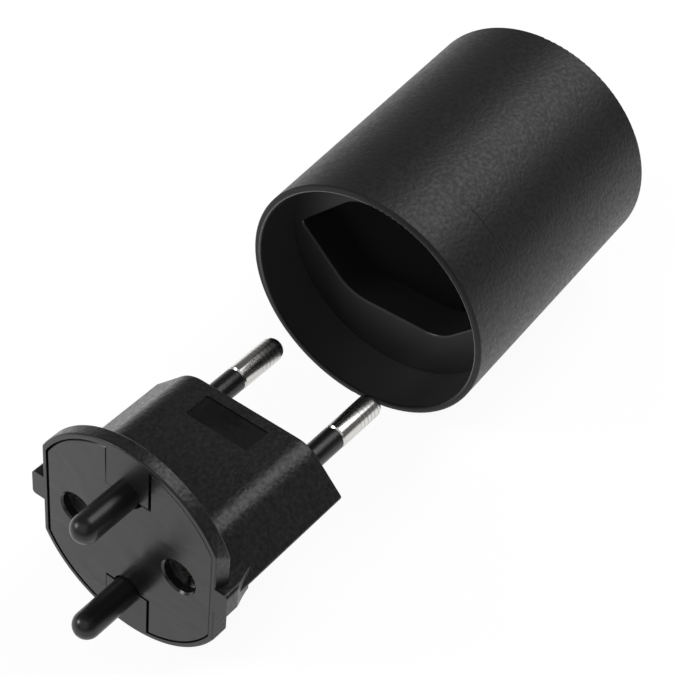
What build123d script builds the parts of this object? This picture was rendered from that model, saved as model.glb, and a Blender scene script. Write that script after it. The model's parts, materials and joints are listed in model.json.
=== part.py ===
from build123d import *
from math import cos, radians, sin, tan
import os

# A plug adapter in two pieces, pulled apart: a round sleeve lying on its side and, in front of its
# open mouth, a plug insert with two sockets and two key posts on its face and a flat nose that
# carries two pins. Millimetres, +Z up, both pieces rest on z = 0. The sleeve's axis runs along +Y.

# Pins and contacts
pin_spacing = 19.0
pin_radius = 2.0
pin_tip_reach = 46.3
pin_tip_round = 1.75
pin_shank_radius = 1.5
pin_joint_chamfer = 0.35
insulation_radius = 1.95
insulation_length = 8.8
insulation_embed = 3.5
insulation_round = 0.15
neck_length = 2.0
socket_bore_radius = 2.45
socket_wall = 0.95
socket_mouth_depth = 2.4
socket_bore_depth = 17.2
socket_slot_width = 0.6
socket_slot_length = 11.0

# Flange, face plate and key posts
flange_radius = 18.2
flange_flat_depth = 2.3
flange_flat_flare = 0.8
flange_thickness = 2.4
flange_edge_round = 0.3
flange_corner_round = 0.6
rim_wall = 0.85
flat_wall = 0.65
pocket_depth = 1.5
plate_gap = 0.25
plate_shift_across = 0.15
plate_shift_up = 0.1
plate_edge_chamfer = 0.12
face_hole_radius = 2.85
face_hole_chamfer = 0.3
boss_width = 7.6
boss_inner_edge = 9.8
post_radius = 2.2
post_offset = 10.2
post_length = 10.5

# Nose with its label recess
nose_length = 24.6
nose_half_height = 6.6
nose_slant = 45.0
nose_crease_radius = 5.3
nose_ridge_radius = 0.4
nose_end_round = 0.3
ridge_setback = 0.35
recess_length = 11.5
recess_width = 5.0
recess_depth = 0.2
recess_to_nose_end = 2.1
recess_shift = -0.6
recess_corner = 0.3

# Side catches: blocks that start as tabs on the flange and slope down along the nose's ridges
catch_setback = 0.1
catch_width = 4.6
catch_corner = 0.6
catch_length = 6.4
catch_middle = 4.4
catch_middle_drop = 0.73
catch_end_drop = 1.20

# Sleeve
sleeve_length = 50.7
mouth_wall = 1.15
mouth_depth = 9.5
rim_outer_round = 0.45
rim_inner_round = 0.3
collar_depth = 7.0
chamber_wall = 1.9
end_wall = 1.9
end_round = 0.35
passage_crease_radius = 7.0
passage_ridge_radius = 0.8
passage_lip_round = 0.45

# Clearances
fit_clearance = 0.05
overmould_clearance = 0.02
flange_clearance = 2.15
passage_side_clearance = 1.05
passage_flat_clearance = 3.6

# How the two pieces lie
insert_distance = 56.65
insert_shift = -0.9
insert_yaw = 1.7
insert_pitch = 4.2

# Worked out from the above
sleeve_radius = flange_radius + flange_clearance + mouth_wall
mouth_radius = sleeve_radius - mouth_wall
chamber_radius = sleeve_radius - chamber_wall
chamber_length = sleeve_length - mouth_depth - collar_depth - end_wall
flange_flat_half = flange_radius - flange_flat_depth
nose_half_width = flange_radius - ridge_setback
catch_reach = flange_radius - catch_setback
nose_end = flange_thickness + nose_length
slant = tan(radians(nose_slant))
pocket_radius = flange_radius - rim_wall
pocket_flat_half = flange_flat_half - flat_wall
socket_radius = socket_bore_radius + socket_wall
socket_bore_end = socket_mouth_depth + socket_bore_depth
insulation_start = nose_end - insulation_embed
insulation_end = nose_end + insulation_length
socket_end = insulation_start - neck_length

# The insert rests on the rounded back edge of its flange, pins a little down and to the right
pitch = radians(insert_pitch)
yaw = radians(insert_yaw)
face_height = (
    (flange_radius - flange_edge_round) * cos(pitch)
    + (flange_thickness - flange_edge_round) * sin(pitch)
    + flange_edge_round
)
post_front = (
    (post_length - post_radius) * cos(pitch) * cos(yaw)
    + post_offset * sin(pitch) * cos(yaw)
    + post_radius
)
mouth_y = (insert_distance + post_front - sleeve_length) / 2

# Planes of the sleeve's mouth and of the insert's face, both looking out at the user, the
# lengthways plane through the insert: x across the pins, y from the face to the pin tips, and
# the face plate's own plane, because the plate sits a little to one side in its pocket
mouth_plane = Plane(origin=(0, mouth_y, sleeve_radius), x_dir=(1, 0, 0), z_dir=(0, -1, 0))
plug_direction = Vector(cos(pitch) * sin(yaw), cos(pitch) * cos(yaw), -sin(pitch))
face_plane = Plane(
    origin=(insert_shift, mouth_y - insert_distance, face_height),
    x_dir=(cos(yaw), -sin(yaw), 0),
    z_dir=-plug_direction,
)
length_plane = Plane(
    origin=face_plane.origin, x_dir=face_plane.x_dir, z_dir=face_plane.y_dir
)
plate_plane = Plane(
    origin=face_plane.from_local_coords((plate_shift_across, plate_shift_up, 0)),
    x_dir=face_plane.x_dir,
    z_dir=face_plane.z_dir,
)
plug_axis = Axis(face_plane.origin, plug_direction)
sides = {"left": -1, "right": 1}
pin_places = [(side * pin_spacing / 2, 0) for side in sides.values()]
post_places = [(0, -post_offset), (0, post_offset)]


def hexagon(half_width, half_height, ridge_radius, crease_radius):
    """Flat hexagon with a ridge at the left and right and four creases above and below."""
    flat_half = half_width - half_height / slant
    with BuildSketch() as outline:
        with BuildLine():
            Polyline(
                (half_width, 0),
                (flat_half, half_height),
                (-flat_half, half_height),
                (-half_width, 0),
                (-flat_half, -half_height),
                (flat_half, -half_height),
                close=True,
            )
        make_face()
        rows = outline.vertices().group_by(Axis.Y)
        fillet(rows[0] + rows[2], radius=crease_radius)
        columns = outline.vertices().group_by(Axis.X)
        fillet(columns[0] + columns[-1], radius=ridge_radius)
    return outline.sketch


nose_outline = hexagon(
    nose_half_width, nose_half_height, nose_ridge_radius, nose_crease_radius
)
passage_outline = hexagon(
    nose_half_width + passage_side_clearance,
    nose_half_height + passage_flat_clearance,
    passage_ridge_radius,
    passage_crease_radius,
)

# Sleeve: a mouth bore down to a collar with the hexagonal passage, then a chamber up to the
# closed end
with BuildPart() as sleeve:
    with BuildSketch(mouth_plane):
        Circle(sleeve_radius)
    extrude(amount=-sleeve_length)
    with BuildSketch(mouth_plane):
        Circle(mouth_radius)
    extrude(amount=-mouth_depth, mode=Mode.SUBTRACT)
    with BuildSketch(mouth_plane.offset(-mouth_depth - collar_depth)):
        Circle(chamber_radius)
    extrude(amount=-chamber_length, mode=Mode.SUBTRACT)
    with BuildSketch(mouth_plane.offset(-mouth_depth)):
        add(passage_outline)
    extrude(amount=-collar_depth, mode=Mode.SUBTRACT)

    flat_faces = sleeve.faces().filter_by(Axis.Y).sort_by(Axis.Y)
    rim_edges = flat_faces[0].edges().sort_by(SortBy.LENGTH)
    lip_edges = flat_faces[1].inner_wires()[0].edges()
    end_edge = flat_faces[-1].edges()
    fillet(lip_edges, radius=passage_lip_round)
    fillet(rim_edges[-1], radius=rim_outer_round)
    fillet(rim_edges[0], radius=rim_inner_round)
    fillet(end_edge, radius=end_round)

# Side catches, as wide as a tab from the flange's face to their end on the nose
with BuildPart() as side_catches:
    catch_root = nose_half_width - catch_width / slant
    with BuildSketch(length_plane):
        for side in sides.values():
            with BuildLine():
                Polyline(
                    (side * (catch_reach - catch_end_drop), catch_length),
                    (side * catch_root, catch_length),
                    (side * catch_root, 0),
                    (side * catch_reach, 0),
                    (side * catch_reach, flange_thickness),
                )
                ThreePointArc(
                    (side * catch_reach, flange_thickness),
                    (side * (catch_reach - catch_middle_drop), catch_middle),
                    (side * (catch_reach - catch_end_drop), catch_length),
                )
            make_face()
    extrude(amount=catch_width / 2, both=True)
    long_edges = side_catches.edges().filter_by(plug_axis)
    outer_edges = long_edges.filter_by(
        lambda edge: abs(length_plane.to_local_coords(edge.center()).X) > nose_half_width
    )
    fillet(outer_edges, radius=catch_corner)

# Plug body: flange, catches, nose, bosses and key posts, moulded in one piece. The flange's two
# flats flare a little towards its back.
with BuildPart() as plug_body:
    with BuildSketch(face_plane):
        Circle(flange_radius)
    extrude(amount=-flange_thickness)
    with BuildSketch(length_plane):
        with BuildLine():
            Polyline(
                (flange_flat_half, 0),
                (flange_flat_half + flange_flat_flare, flange_thickness),
                (-flange_flat_half - flange_flat_flare, flange_thickness),
                (-flange_flat_half, 0),
                close=True,
            )
        make_face()
    extrude(amount=flange_radius, both=True, mode=Mode.INTERSECT)
    flange_faces = plug_body.faces().filter_by(plug_axis)
    flat_corners = plug_body.edges() - flange_faces.edges()
    fillet(flat_corners, radius=flange_corner_round)
    flange_faces = plug_body.faces().filter_by(plug_axis)
    fillet(flange_faces.edges(), radius=flange_edge_round)

    with BuildSketch(face_plane.offset(-flange_thickness)):
        add(nose_outline)
    extrude(amount=-nose_length)
    nose_face = plug_body.faces().filter_by(plug_axis).sort_by(plug_axis)[-1]
    fillet(nose_face.edges(), radius=nose_end_round)
    add(side_catches.part)

    # Pocket for the face plate, leaving the rim, the two bosses and the roots of the posts
    with BuildSketch(face_plane):
        Circle(pocket_radius)
        Rectangle(2 * pocket_flat_half, 2 * pocket_radius, mode=Mode.INTERSECT)
        boss_height = flange_radius - boss_inner_edge
        boss_middle = boss_inner_edge + boss_height / 2
        with Locations((0, -boss_middle), (0, boss_middle)):
            Rectangle(boss_width, boss_height, mode=Mode.SUBTRACT)
        with Locations(*post_places):
            Circle(post_radius, mode=Mode.SUBTRACT)
    extrude(amount=-pocket_depth, mode=Mode.SUBTRACT)

    with BuildSketch(face_plane.offset(-pocket_depth)):
        with Locations(*post_places):
            Circle(post_radius)
    extrude(amount=pocket_depth + post_length - post_radius)
    with Locations(face_plane.offset(post_length - post_radius)):
        with Locations(*post_places):
            Sphere(post_radius)

    # Wells for the socket contacts, with a hole for each pin through the end of the nose
    with BuildSketch(face_plane):
        with Locations(*pin_places):
            Circle(socket_radius + fit_clearance)
    extrude(amount=-socket_end, mode=Mode.SUBTRACT)
    with BuildSketch(face_plane):
        with Locations(*pin_places):
            Circle(pin_radius + fit_clearance)
    extrude(amount=-nose_end, mode=Mode.SUBTRACT)

    # Shallow bare recess for a label on the upper flat of the nose
    with BuildSketch(length_plane.offset(nose_half_height)):
        with Locations((recess_shift, nose_end - recess_to_nose_end - recess_width / 2)):
            RectangleRounded(recess_length, recess_width, recess_corner)
    extrude(amount=-recess_depth, mode=Mode.SUBTRACT)

# Face plate: dropped into the pocket, notched round the bosses and posts, with its two holes in
# line with the contacts
with BuildPart() as face_plate:
    with BuildSketch(plate_plane):
        Circle(pocket_radius - plate_gap)
        Rectangle(
            2 * (pocket_flat_half - plate_gap), 2 * pocket_radius, mode=Mode.INTERSECT
        )
        with Locations((0, -boss_middle), (0, boss_middle)):
            Rectangle(
                boss_width + 2 * plate_gap, boss_height + 2 * plate_gap, mode=Mode.SUBTRACT
            )
        with Locations(*post_places):
            Circle(post_radius + plate_gap, mode=Mode.SUBTRACT)
    extrude(amount=-pocket_depth)
    with BuildSketch(face_plane):
        with Locations(*pin_places):
            Circle(face_hole_radius)
    extrude(amount=-pocket_depth, mode=Mode.SUBTRACT)
    plate_front = face_plate.faces().sort_by(plug_axis)[0]
    chamfer(plate_front.outer_wire().edges(), length=plate_edge_chamfer)
    plate_front = face_plate.faces().sort_by(plug_axis)[0]
    hole_edges = [wire.edge() for wire in plate_front.inner_wires()]
    chamfer(hole_edges, length=face_hole_chamfer)

finished = {"sleeve": sleeve, "plug_body": plug_body, "face_plate": face_plate}

# Conductors: on each side a slotted tube contact behind the face hole, with the pin's tail
# seated in its end, and the insulation moulded round the pin's thin shank
for side_name, side in sides.items():
    pin_x = side * pin_spacing / 2

    with BuildPart() as contact_socket:
        with BuildSketch(face_plane.offset(-socket_mouth_depth)):
            with Locations((pin_x, 0)):
                Circle(socket_radius)
        extrude(amount=socket_mouth_depth - socket_end)
        with BuildSketch(face_plane.offset(-socket_mouth_depth)):
            with Locations((pin_x, 0)):
                Circle(socket_bore_radius)
        extrude(amount=-socket_bore_depth, mode=Mode.SUBTRACT)
        with BuildSketch(face_plane.offset(-socket_mouth_depth)):
            with Locations((pin_x, 0)):
                Rectangle(2 * socket_radius, socket_slot_width)
                Rectangle(socket_slot_width, 2 * socket_radius)
        extrude(amount=-socket_slot_length, mode=Mode.SUBTRACT)
        with BuildSketch(face_plane.offset(-socket_bore_end)):
            with Locations((pin_x, 0)):
                Circle(pin_shank_radius + overmould_clearance)
        extrude(amount=socket_bore_end - socket_end, mode=Mode.SUBTRACT)
    finished[f"contact_socket_{side_name}"] = contact_socket

    with BuildPart() as contact_pin:
        with BuildSketch(length_plane):
            with BuildLine():
                Polyline(
                    (pin_x, socket_bore_end),
                    (pin_x + pin_shank_radius, socket_bore_end),
                    (pin_x + pin_shank_radius, socket_end),
                    (pin_x + pin_radius, socket_end),
                    (pin_x + pin_radius, insulation_start),
                    (pin_x + pin_shank_radius, insulation_start),
                    (pin_x + pin_shank_radius, insulation_end),
                    (pin_x + pin_radius, insulation_end),
                    (pin_x + pin_radius, pin_tip_reach),
                    (pin_x, pin_tip_reach),
                    close=True,
                )
            make_face()
        pin_axis = Axis(length_plane.from_local_coords((pin_x, 0, 0)), plug_direction)
        revolve(axis=pin_axis)
        pin_ends = contact_pin.faces().filter_by(pin_axis).sort_by(pin_axis)
        fillet(pin_ends[-1].edges(), radius=pin_tip_round)
        joint_edges = pin_ends[-2].edges().sort_by(SortBy.LENGTH)
        chamfer(joint_edges[-1], length=pin_joint_chamfer)
    finished[f"contact_pin_{side_name}"] = contact_pin

    with BuildPart() as pin_insulation:
        with BuildSketch(face_plane.offset(-insulation_start)):
            with Locations((pin_x, 0)):
                Circle(insulation_radius)
                Circle(pin_shank_radius + overmould_clearance, mode=Mode.SUBTRACT)
        extrude(amount=insulation_start - insulation_end)
        outer_end = pin_insulation.faces().sort_by(plug_axis)[-1]
        fillet(outer_end.outer_wire().edges(), radius=insulation_round)
    finished[f"pin_insulation_{side_name}"] = pin_insulation

os.makedirs("parts", exist_ok=True)
for node_name, piece in finished.items():
    piece.part.label = node_name
    export_step(piece.part, f"parts/{node_name}.step")
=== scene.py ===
import bmesh
import bpy
import json
from mathutils import Matrix, Vector


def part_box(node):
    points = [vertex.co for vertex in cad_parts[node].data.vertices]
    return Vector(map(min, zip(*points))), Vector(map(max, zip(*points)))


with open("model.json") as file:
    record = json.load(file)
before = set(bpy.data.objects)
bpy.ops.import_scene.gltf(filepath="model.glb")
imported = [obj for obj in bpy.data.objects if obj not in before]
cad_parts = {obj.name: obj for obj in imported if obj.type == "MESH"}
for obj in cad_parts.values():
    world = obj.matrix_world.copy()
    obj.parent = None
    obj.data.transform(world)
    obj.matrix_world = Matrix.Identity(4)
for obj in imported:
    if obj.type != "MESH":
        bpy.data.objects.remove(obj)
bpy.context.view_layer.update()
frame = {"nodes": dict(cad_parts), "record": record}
nodes = frame["nodes"]


# Sleeve: one injection moulding in black plastic, lying on its side with its open mouth towards
# the viewer. The mould was spark-eroded, which leaves a fine even grain, and the cavity's joint
# shows as a faint broken line round the tube. A pale line on the upper part of the mouth's inner
# edge is a painted highlight, the flat of the rim is painted darker as painted shade, and the bore
# is painted paler than the outside, palest deep inside, as painted light.

def new_finish(name):
    """A material with its own shader, and the place of each point on the object."""
    finish = bpy.data.materials.new(name)
    finish.use_nodes = True
    tree = finish.node_tree
    shader = tree.nodes["Principled BSDF"]
    place = tree.nodes.new("ShaderNodeTexCoord").outputs["Object"]
    return finish, tree, shader, place


def add_node(tree, kind, links=(), **settings):
    """A node with its settings made and its inputs joined, by name or number."""
    node = tree.nodes.new("ShaderNode" + kind)
    for key, value in settings.items():
        setattr(node, key, value)
    for socket, source in dict(links).items():
        if isinstance(source, bpy.types.NodeSocket):
            tree.links.new(source, node.inputs[socket])
        else:
            node.inputs[socket].default_value = source
    return node


def add_maths(tree, operation, first, second):
    """Two masks or values combined by one operation."""
    return add_node(tree, "Math", {0: first, 1: second}, operation=operation).outputs[0]


def dress(finish, *names):
    """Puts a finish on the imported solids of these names."""
    for name in names:
        for material_slot in nodes[name].material_slots:
            material_slot.material = finish


def new_effect(name, inputs, outputs):
    """An empty group of nodes that several finishes share."""
    group = bpy.data.node_groups.new(name, "ShaderNodeTree")
    for label, kind in inputs.items():
        group.interface.new_socket(label, in_out="INPUT", socket_type="NodeSocket" + kind)
    for label, kind in outputs.items():
        group.interface.new_socket(label, in_out="OUTPUT", socket_type="NodeSocket" + kind)
    return group, group.nodes.new("NodeGroupInput"), group.nodes.new("NodeGroupOutput")


grain, given, result = new_effect(
    "Spark-eroded grain",
    {"Place": "Vector", "Pitch": "Float", "Relief": "Float"},
    {"Normal": "Vector", "Pits": "Float", "Cloud": "Float"},
)
fine = add_node(grain, "TexNoise", {
    "Vector": given.outputs["Place"], "Scale": given.outputs["Pitch"],
    "Detail": 1.0, "Roughness": 0.5,
})
craters = add_node(grain, "TexVoronoi", {
    "Vector": given.outputs["Place"], "Scale": given.outputs["Pitch"], "Smoothness": 0.5,
}, feature="SMOOTH_F1")
pit_height = add_maths(grain, "ADD", fine.outputs["Fac"], craters.outputs["Distance"])
bump = add_node(grain, "Bump", {
    "Strength": given.outputs["Relief"], "Distance": 0.00016, "Height": pit_height,
})
cloud = add_node(grain, "TexNoise", {
    "Vector": given.outputs["Place"], "Scale": 140.0, "Detail": 4.0, "Roughness": 0.6,
})
grain.links.new(bump.outputs["Normal"], result.inputs["Normal"])
grain.links.new(fine.outputs["Fac"], result.inputs["Pits"])
grain.links.new(cloud.outputs["Fac"], result.inputs["Cloud"])


def add_grain(tree, place, pitch, relief):
    """The moulded grain at this finish's own pitch and relief."""
    node = add_node(tree, "Group")
    node.node_tree = grain
    for socket, value in (("Place", place), ("Pitch", pitch), ("Relief", relief)):
        if isinstance(value, bpy.types.NodeSocket):
            tree.links.new(value, node.inputs[socket])
        else:
            node.inputs[socket].default_value = value
    return node.outputs


def add_range(tree, source, low, high, to_low, to_high):
    """Carries a value from one range to another."""
    node = add_node(tree, "MapRange", {
        "Value": source, "From Min": low, "From Max": high, "To Min": to_low, "To Max": to_high,
    })
    return node.outputs["Result"]


def add_step(tree, source, low, high):
    """0 up to a low value and 1 from a high one."""
    return add_range(tree, source, low, high, 0.0, 1.0)


pattern_low = 0.3
pattern_high = 0.7


def add_spread(tree, pattern, low, high):
    """Spreads a pattern of noise between a low and a high value."""
    return add_range(tree, pattern, pattern_low, pattern_high, low, high)


def add_distance(tree, place, start, way):
    """How far each point lies from a start, along a way."""
    offset = add_node(tree, "VectorMath", {0: place, 1: start}, operation="SUBTRACT")
    along = add_node(tree, "VectorMath", {0: offset.outputs[0], 1: way}, operation="DOT_PRODUCT")
    return along.outputs["Value"]


def add_band(tree, distance, middle, half_width, edge):
    """1 within half a width of the middle, falling to 0 over the edge."""
    near = add_maths(tree, "SUBTRACT", distance, middle)
    size = add_node(tree, "Math", {0: near}, operation="ABSOLUTE")
    return add_range(tree, size.outputs[0], half_width, half_width + edge, 1.0, 0.0)


def add_blend(tree, mask, at_none, at_full):
    """A value that goes over to another where the mask is 1."""
    return add_node(tree, "Mix", {0: mask, 2: at_none, 3: at_full}).outputs[0]


def add_tint(tree, mask, at_none, at_full):
    """A colour that goes over to another where the mask is 1."""
    node = add_node(tree, "Mix", {0: mask, 6: at_none, 7: at_full}, data_type="RGBA")
    return node.outputs[2]


sleeve_low, sleeve_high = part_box("sleeve")
sleeve_axis = Vector((0.0, sleeve_low[1], (sleeve_low[2] + sleeve_high[2]) / 2))
bore_reach = 0.0206
bore_edge = 0.0002
chamber_end = 0.0494
chamber_edge = 0.0005

# Each band on the sleeve is given by its middle, half its width and its soft edge.
rim_band = (0.0, 0.00035, 0.0002)
highlight_line_band = (0.02048, 0.0001, 0.00008)
lip_band = (0.00974, 0.00018, 0.00005)
collar_band = (0.013, 0.0036, 0.0001)
witness_band = (0.0109, 0.00007, 0.00012)
upper_stretch = (0.0368, 0.0024, 0.0018)
side_stretch = (0.0276, 0.0009, 0.0006)

highlight_line_from = 0.008
highlight_line_to = 0.022
painted_light_from = 0.0094
painted_light_to = 0.0168
gap_from = 0.4
gap_to = 0.6
gap_strength = 0.35

grain_pitch = 1500.0
bore_relief = 0.04
sleeve_relief = 0.23
rim_share = 0.0

sleeve_roughness = (0.38, 0.54)
bore_roughness = (0.32, 0.4)
collar_roughness = 0.48
lip_roughness = 0.28
rim_roughness = 0.62
highlight_line_roughness = 0.25

pit_black = (0.009, 0.009, 0.0094, 1)
sleeve_peak = (0.023, 0.023, 0.0236, 1)
bore_painted_light = (0.038, 0.038, 0.0385, 1)
deep_painted_light = (0.1, 0.1, 0.1005, 1)
collar_black = (0.013, 0.013, 0.0134, 1)
rim_painted_shade = (0.004, 0.004, 0.0042, 1)
painted_highlight_grey = (0.17, 0.17, 0.17, 1)
witness_black = (0.004, 0.004, 0.004, 1)

finish, tree, shader, place = new_finish("Grained black sleeve")
behind_rim = add_distance(tree, place, sleeve_axis, (0, 1, 0))
from_axis = add_node(tree, "VectorMath", {0: place, 1: sleeve_axis}, operation="SUBTRACT")
flat = add_node(tree, "VectorMath", {0: from_axis.outputs[0], 1: (1, 0, 1)}, operation="MULTIPLY")
radius = add_node(tree, "VectorMath", {0: flat.outputs[0]}, operation="LENGTH").outputs["Value"]
above_table = add_node(tree, "SeparateXYZ", {0: place}).outputs["Z"]

round_wall = add_step(tree, radius, bore_reach, bore_reach + bore_edge)
closed_end = add_step(tree, behind_rim, chamber_end, chamber_end + chamber_edge)
outside = add_maths(tree, "MAXIMUM", round_wall, closed_end)
rim = add_band(tree, behind_rim, *rim_band)
lip = add_band(tree, behind_rim, *lip_band)
collar = add_band(tree, behind_rim, *collar_band)
# A thin ring on the mouth's inner edge, on its upper part only, is painted pale as a painted
# highlight line.
painted_highlight_line = add_maths(tree, "MULTIPLY", add_band(tree, radius, *highlight_line_band), rim)
painted_highlight_line = add_maths(tree, "MULTIPLY", painted_highlight_line, add_step(tree, above_table, highlight_line_from, highlight_line_to))

relief = add_blend(tree, add_blend(tree, rim, outside, rim_share), bore_relief, sleeve_relief)
moulded = add_grain(tree, place, grain_pitch, relief)

deepest = add_maths(
    tree, "MAXIMUM",
    add_band(tree, above_table, *upper_stretch), add_band(tree, above_table, *side_stretch),
)
faint = add_range(tree, moulded["Cloud"], gap_from, gap_to, 0.0, gap_strength)
witness = add_band(tree, behind_rim, *witness_band)
witness = add_maths(tree, "MULTIPLY", witness, add_maths(tree, "MAXIMUM", deepest, faint))
witness = add_maths(tree, "MULTIPLY", witness, outside)

rough = add_spread(tree, moulded["Cloud"], *bore_roughness)
rough = add_blend(tree, collar, rough, collar_roughness)
rough = add_blend(tree, lip, rough, lip_roughness)
rough = add_blend(tree, outside, rough, add_spread(tree, moulded["Pits"], *sleeve_roughness))
rough = add_blend(tree, rim, rough, rim_roughness)
rough = add_blend(tree, painted_highlight_line, rough, highlight_line_roughness)
tree.links.new(rough, shader.inputs["Roughness"])

# The bore is painted paler than the plastic outside, and paler still deep inside, as painted light
# in the dark interior.
painted_light_depth = add_step(tree, behind_rim, painted_light_from, painted_light_to)
tint = add_tint(tree, painted_light_depth, bore_painted_light, deep_painted_light)
tint = add_tint(tree, collar, tint, collar_black)
tint = add_tint(tree, outside, tint, add_tint(tree, moulded["Pits"], pit_black, sleeve_peak))
# The flat of the rim is painted darker than the plastic as painted shade.
tint = add_tint(tree, rim, tint, rim_painted_shade)
# The pale ring on the upper inner edge of the mouth is a painted highlight.
tint = add_tint(tree, painted_highlight_line, tint, painted_highlight_grey)
tint = add_tint(tree, witness, tint, witness_black)
tree.links.new(tint, shader.inputs["Base Color"])

lined = add_node(tree, "Bump", {
    "Height": witness, "Normal": moulded["Normal"], "Strength": 0.7, "Distance": 0.00006,
}, invert=True)
tree.links.new(lined.outputs["Normal"], shader.inputs["Normal"])
dress(finish, "sleeve")


# Plug body: flange, key posts and flat nose in one moulding of the same black plastic. The nose
# and the flange's edge carry the grain, and the posts were polished so that they pull out of the
# mould. The field on top of the nose is left bare, and it is painted darker than the plastic round
# it as painted shade.

mounts = {mount["name"]: mount for mount in frame["record"]["mounts"]}
plug_way = Vector(mounts["pin_left"]["axis"])
left_socket = Vector(mounts["socket_left"]["pos_m"])
right_socket = Vector(mounts["socket_right"]["pos_m"])
pin_row = (right_socket - left_socket).normalized()
face_up = pin_row.cross(plug_way)
socket_middle = 0.011
face_middle = (left_socket + right_socket) / 2 - plug_way * socket_middle

grain_from = 0.0001
grain_to = 0.0004
field_length = (-0.0006, 0.00575, 0.0001)
field_width = (0.0224, 0.0025, 0.0001)
field_height = (0.0064, 0.0001, 0.00005)
field_share = 0.45
mottle_from = 0.42
mottle_to = 0.58

post_relief = 0.03
body_relief = 0.22

body_roughness = (0.28, 0.43)
field_roughness = (0.12, 0.34)
post_roughness = (0.27, 0.35)

body_peak = (0.022, 0.022, 0.0226, 1)
field_painted_shade = (0.003, 0.003, 0.0032, 1)
post_black = (0.013, 0.013, 0.0134, 1)

finish, tree, shader, place = new_finish("Grained black body")
depth = add_distance(tree, place, face_middle, plug_way)
height = add_distance(tree, place, face_middle, face_up)
along_row = add_distance(tree, place, face_middle, pin_row)

behind_face = add_step(tree, depth, grain_from, grain_to)
field = add_maths(
    tree, "MULTIPLY",
    add_band(tree, along_row, *field_length), add_band(tree, depth, *field_width),
)
field = add_maths(tree, "MULTIPLY", field, add_band(tree, height, *field_height))

relief = add_blend(tree, add_blend(tree, field, behind_face, field_share), post_relief, body_relief)
moulded = add_grain(tree, place, grain_pitch, relief)

mottle = add_range(tree, moulded["Cloud"], mottle_from, mottle_to, *field_roughness)
rough = add_blend(tree, field, add_spread(tree, moulded["Pits"], *body_roughness), mottle)
polished = add_spread(tree, moulded["Cloud"], *post_roughness)
rough = add_blend(tree, behind_face, polished, rough)
tree.links.new(rough, shader.inputs["Roughness"])

tint = add_tint(tree, moulded["Pits"], pit_black, body_peak)
# The recessed field on top of the nose is painted darker as painted shade.
tint = add_tint(tree, field, tint, field_painted_shade)
tint = add_tint(tree, behind_face, post_black, tint)
tree.links.new(tint, shader.inputs["Base Color"])
tree.links.new(moulded["Normal"], shader.inputs["Normal"])
dress(finish, "plug_body")


# Face plate: a separate flat moulding pressed into the flange, smooth enough to mirror the pale
# surroundings softly, with faint marks where the plastic flowed round the holes.

plate_pitch = 1900.0
plate_relief = 0.01
plate_roughness = (0.22, 0.32)
flow_dark = (0.01, 0.01, 0.0104, 1)
flow_pale = (0.015, 0.015, 0.0155, 1)
flow_from = 0.35
flow_to = 0.65

finish, tree, shader, place = new_finish("Satin face plate")
shader.inputs["IOR"].default_value = 1.5
moulded = add_grain(tree, place, plate_pitch, plate_relief)
stretched = add_node(tree, "Mapping", {"Vector": place, "Scale": (0.6, 1.0, 1.0)})
flow = add_node(tree, "TexNoise", {
    "Vector": stretched.outputs[0], "Scale": 170.0, "Detail": 1.0, "Distortion": 1.0,
}).outputs["Fac"]
streaks = add_step(tree, flow, flow_from, flow_to)
tree.links.new(add_blend(tree, streaks, *plate_roughness), shader.inputs["Roughness"])
tree.links.new(add_tint(tree, streaks, flow_dark, flow_pale), shader.inputs["Base Color"])
sunk = add_node(tree, "Bump", {
    "Height": flow, "Normal": moulded["Normal"], "Strength": 0.5, "Distance": 0.0002,
})
tree.links.new(sunk.outputs["Normal"], shader.inputs["Normal"])
dress(finish, "face_plate")


# Contact tubes: stamped brass strip, rolled into slotted tubes and nickel plated. Each stands in
# a well of the plug body, behind a hole of the face plate.

contact_nickel = (0.88, 0.87, 0.85, 1)
contact_pitch = 1800.0
contact_relief = 0.1
contact_roughness = (0.26, 0.38)

finish, tree, shader, place = new_finish("Plated contact")
shader.inputs["Base Color"].default_value = contact_nickel
shader.inputs["Metallic"].default_value = 1.0
moulded = add_grain(tree, place, contact_pitch, contact_relief)
rough = add_spread(tree, moulded["Cloud"], *contact_roughness)
tree.links.new(rough, shader.inputs["Roughness"])
tree.links.new(moulded["Normal"], shader.inputs["Normal"])
dress(finish, "contact_socket_left", "contact_socket_right")


# Pins: turned brass with bright nickel plating, held by the ends of the contact tubes. Plugging
# in and out has drawn fine marks along them, and the tool has left fine rings near the tips.

pin_roughness = (0.14, 0.28)
tip_roughness = 0.24
mark_dark = (0.6, 0.59, 0.57, 1)
mark_pale = (0.8, 0.79, 0.77, 1)
groove_dark = (0.48, 0.47, 0.46, 1)
tip_band = (0.0431, 0.0022, 0.0015)
drawn_stretch = 0.03
drawn_share = 0.8
shank_turning = 0.15
tip_turning = 0.6
groove_width = 0.35
drawn_from = 0.35
drawn_to = 0.65

finish, tree, shader, place = new_finish("Bright nickel pin")
shader.inputs["Metallic"].default_value = 1.0
depth = add_distance(tree, place, face_middle, plug_way)
height = add_distance(tree, place, face_middle, face_up)
along_row = add_distance(tree, place, face_middle, pin_row)
tip = add_band(tree, depth, *tip_band)

drawn_out = add_maths(tree, "MULTIPLY", depth, drawn_stretch)
drawn_place = add_node(tree, "CombineXYZ", {0: along_row, 1: drawn_out, 2: height})
drawn = add_node(tree, "TexNoise", {
    "Vector": drawn_place.outputs[0], "Scale": 5200.0, "Detail": 2.0, "Roughness": 0.6,
}).outputs["Fac"]
ring_place = add_node(tree, "CombineXYZ", {1: depth}).outputs[0]
rings = add_node(tree, "TexNoise", {
    "Vector": ring_place, "Scale": 4200.0, "Detail": 2.0, "Roughness": 0.7,
}).outputs["Fac"]
groove = add_node(tree, "TexWave", {
    "Vector": ring_place, "Scale": 360.0, "Distortion": 1.1, "Detail": 2.0, "Detail Scale": 2.0,
}, bands_direction="Y").outputs["Fac"]
groove = add_maths(tree, "MULTIPLY", add_range(tree, groove, 0.0, groove_width, 1.0, 0.0), tip)

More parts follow.
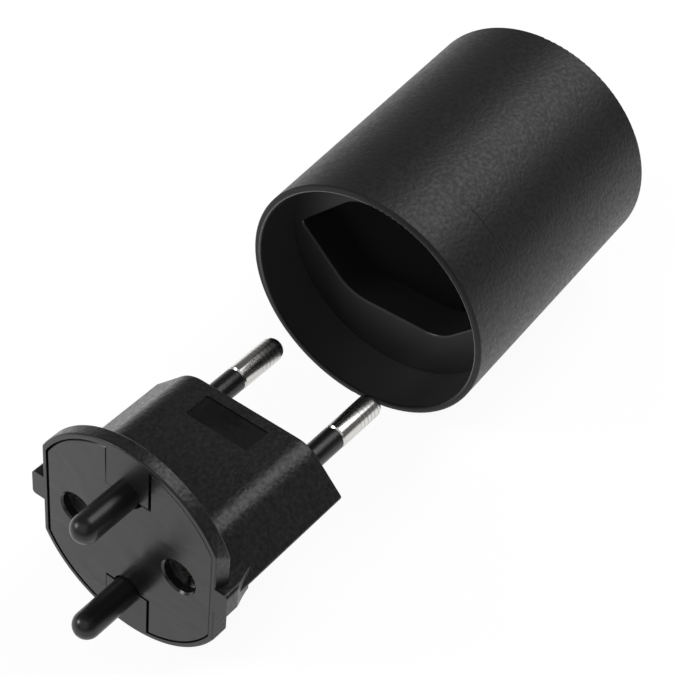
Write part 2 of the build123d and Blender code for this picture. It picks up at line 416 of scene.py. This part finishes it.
turning = add_blend(tree, tip, shank_turning, tip_turning)
marks = add_maths(
    tree, "ADD",
    add_maths(tree, "MULTIPLY", drawn, drawn_share), add_maths(tree, "MULTIPLY", rings, turning),
)
marked = add_node(tree, "Bump", {"Height": marks, "Strength": 0.18, "Distance": 0.00002})
tree.links.new(marked.outputs["Normal"], shader.inputs["Normal"])
rough = add_range(tree, drawn, drawn_from, drawn_to, *pin_roughness)
rough = add_blend(tree, tip, rough, tip_roughness)
tree.links.new(rough, shader.inputs["Roughness"])
tint = add_tint(tree, groove, add_tint(tree, marks, mark_dark, mark_pale), groove_dark)
tree.links.new(tint, shader.inputs["Base Color"])
dress(finish, "contact_pin_left", "contact_pin_right")


# Pin insulation: gloss black plastic, moulded round the thin shank of each pin between the nose
# and the bright metal.

insulation_black = (0.01, 0.01, 0.0105, 1)
insulation_pitch = 2600.0
insulation_relief = 0.06
insulation_roughness = (0.24, 0.34)

finish, tree, shader, place = new_finish("Gloss black insulation")
shader.inputs["Base Color"].default_value = insulation_black
moulded = add_grain(tree, place, insulation_pitch, insulation_relief)
rough = add_spread(tree, moulded["Cloud"], *insulation_roughness)
tree.links.new(rough, shader.inputs["Roughness"])
tree.links.new(moulded["Normal"], shader.inputs["Normal"])
dress(finish, "pin_insulation_left", "pin_insulation_right")


# Table: a wide sheet of white paper under both pieces, which keeps a soft shadow of them. In
# mirrored rays the paper glows as a painted pool of light near the pieces, fading away from them.

table_reach = 1.5
white = (1, 1, 1, 1)
paper_white = (0.85, 0.85, 0.85, 1)
seen_paper = (0.15, 0.15, 0.15, 1)
seen_glow = 0.93
pool_middle = (-0.06, 0.02, 0.0)
pool_from = 0.07
pool_to = 0.35
painted_pool_glow = 0.64

table_mesh = bmesh.new()
bmesh.ops.create_grid(table_mesh, x_segments=1, y_segments=1, size=table_reach)
table_data = bpy.data.meshes.new("table")
table_mesh.to_mesh(table_data)
table_mesh.free()
table = bpy.data.objects.new("table", table_data)
bpy.context.scene.collection.objects.link(table)

finish = bpy.data.materials.new("White paper")
finish.use_nodes = True
tree = finish.node_tree
tree.nodes.remove(tree.nodes["Principled BSDF"])
path = tree.nodes.new("ShaderNodeLightPath").outputs
seen = path["Is Camera Ray"]
mirrored = add_maths(tree, "MAXIMUM", seen, path["Is Glossy Ray"])
plain = add_maths(tree, "MAXIMUM", mirrored, path["Is Transmission Ray"])

paper_place = tree.nodes.new("ShaderNodeTexCoord").outputs["Object"]
away = add_node(tree, "VectorMath", {0: paper_place, 1: pool_middle}, operation="DISTANCE")
# The paper glows in a painted pool of light near the pieces, seen only in reflections.
painted_light_pool = add_range(tree, away.outputs["Value"], pool_from, pool_to, painted_pool_glow, 0.0)
brightness = add_blend(tree, seen, painted_light_pool, seen_glow)
glow = add_node(tree, "Emission", {"Color": white, "Strength": brightness})
shade = add_tint(tree, seen, paper_white, seen_paper)
shaded = add_node(tree, "BsdfDiffuse", {"Color": shade})
lit = add_node(tree, "AddShader", {0: shaded.outputs[0], 1: glow.outputs[0]})
paper = add_node(tree, "BsdfDiffuse", {"Color": paper_white})
both = add_node(tree, "MixShader", {0: plain, 1: paper.outputs[0], 2: lit.outputs[0]})
tree.links.new(both.outputs[0], tree.nodes["Material Output"].inputs["Surface"])
finish.cycles.emission_sampling = "NONE"
table_data.materials.append(finish)


# Room: dim overhead and a little paler round the table, with a soft light above and behind the
# sleeve, a wide weak one in front and a small one low on the left.

left_side = -0.8
right_side = 0.8
left_strength = 0.58
right_strength = 0.14
wall_top = 0.25
overhead_strength = 0.13
seen_strength = 1.0

world = bpy.data.worlds.new("Studio")
bpy.context.scene.world = world
world.use_nodes = True
tree = world.node_tree
seen = tree.nodes.new("ShaderNodeLightPath").outputs["Is Camera Ray"]
direction = tree.nodes.new("ShaderNodeTexCoord").outputs["Generated"]
towards = add_node(tree, "SeparateXYZ", {0: direction}).outputs
horizon = add_range(tree, towards["X"], left_side, right_side, left_strength, right_strength)
room = add_range(tree, towards["Z"], 0.0, wall_top, horizon, overhead_strength)
background = tree.nodes["Background"]
background.inputs["Color"].default_value = white
tree.links.new(add_blend(tree, seen, room, seen_strength), background.inputs["Strength"])

adapter_middle = Vector((0.0, 0.0, 0.03))


def add_softbox(name, way, reach, width, energy):
    """A square soft light that faces the middle of the adapter."""
    lamp = bpy.data.lights.new(name, "AREA")
    lamp.size = width
    lamp.energy = energy
    softbox = bpy.data.objects.new(name, lamp)
    bpy.context.scene.collection.objects.link(softbox)
    softbox.location = adapter_middle + Vector(way).normalized() * reach
    softbox.rotation_mode = "QUATERNION"
    softbox.rotation_quaternion = (softbox.location - adapter_middle).to_track_quat("Z", "Y")


add_softbox("key softbox", way=(0.22, 0.624, 0.8), reach=0.66, width=0.4, energy=1.3)
add_softbox("front softbox", way=(0.15, -0.7, 0.7), reach=0.9, width=1.0, energy=1.6)
add_softbox("low softbox", way=(-0.62, -0.58, 0.42), reach=0.6, width=0.18, energy=0.9)


# Camera: above the insert's face and to its right, where the photograph was taken from, with a
# long lens.

camera_place = (0.110925, -0.167309, 0.228091)
camera_data = bpy.data.cameras.new("camera")
camera_data.sensor_width = 36.0
camera_data.lens = 99.82
camera = bpy.data.objects.new("camera", camera_data)
bpy.context.scene.collection.objects.link(camera)
across = Vector((0.814, 0.580, 0.037))
upwards = Vector((-0.437, 0.571, 0.695))
backwards = across.cross(upwards).normalized()
across = upwards.cross(backwards).normalized()
upwards = backwards.cross(across)
turned = Matrix((across, upwards, backwards)).transposed()
camera.matrix_world = Matrix.Translation(camera_place) @ turned.to_4x4()
bpy.context.scene.camera = camera
bpy.context.scene.view_settings.view_transform = "Standard"
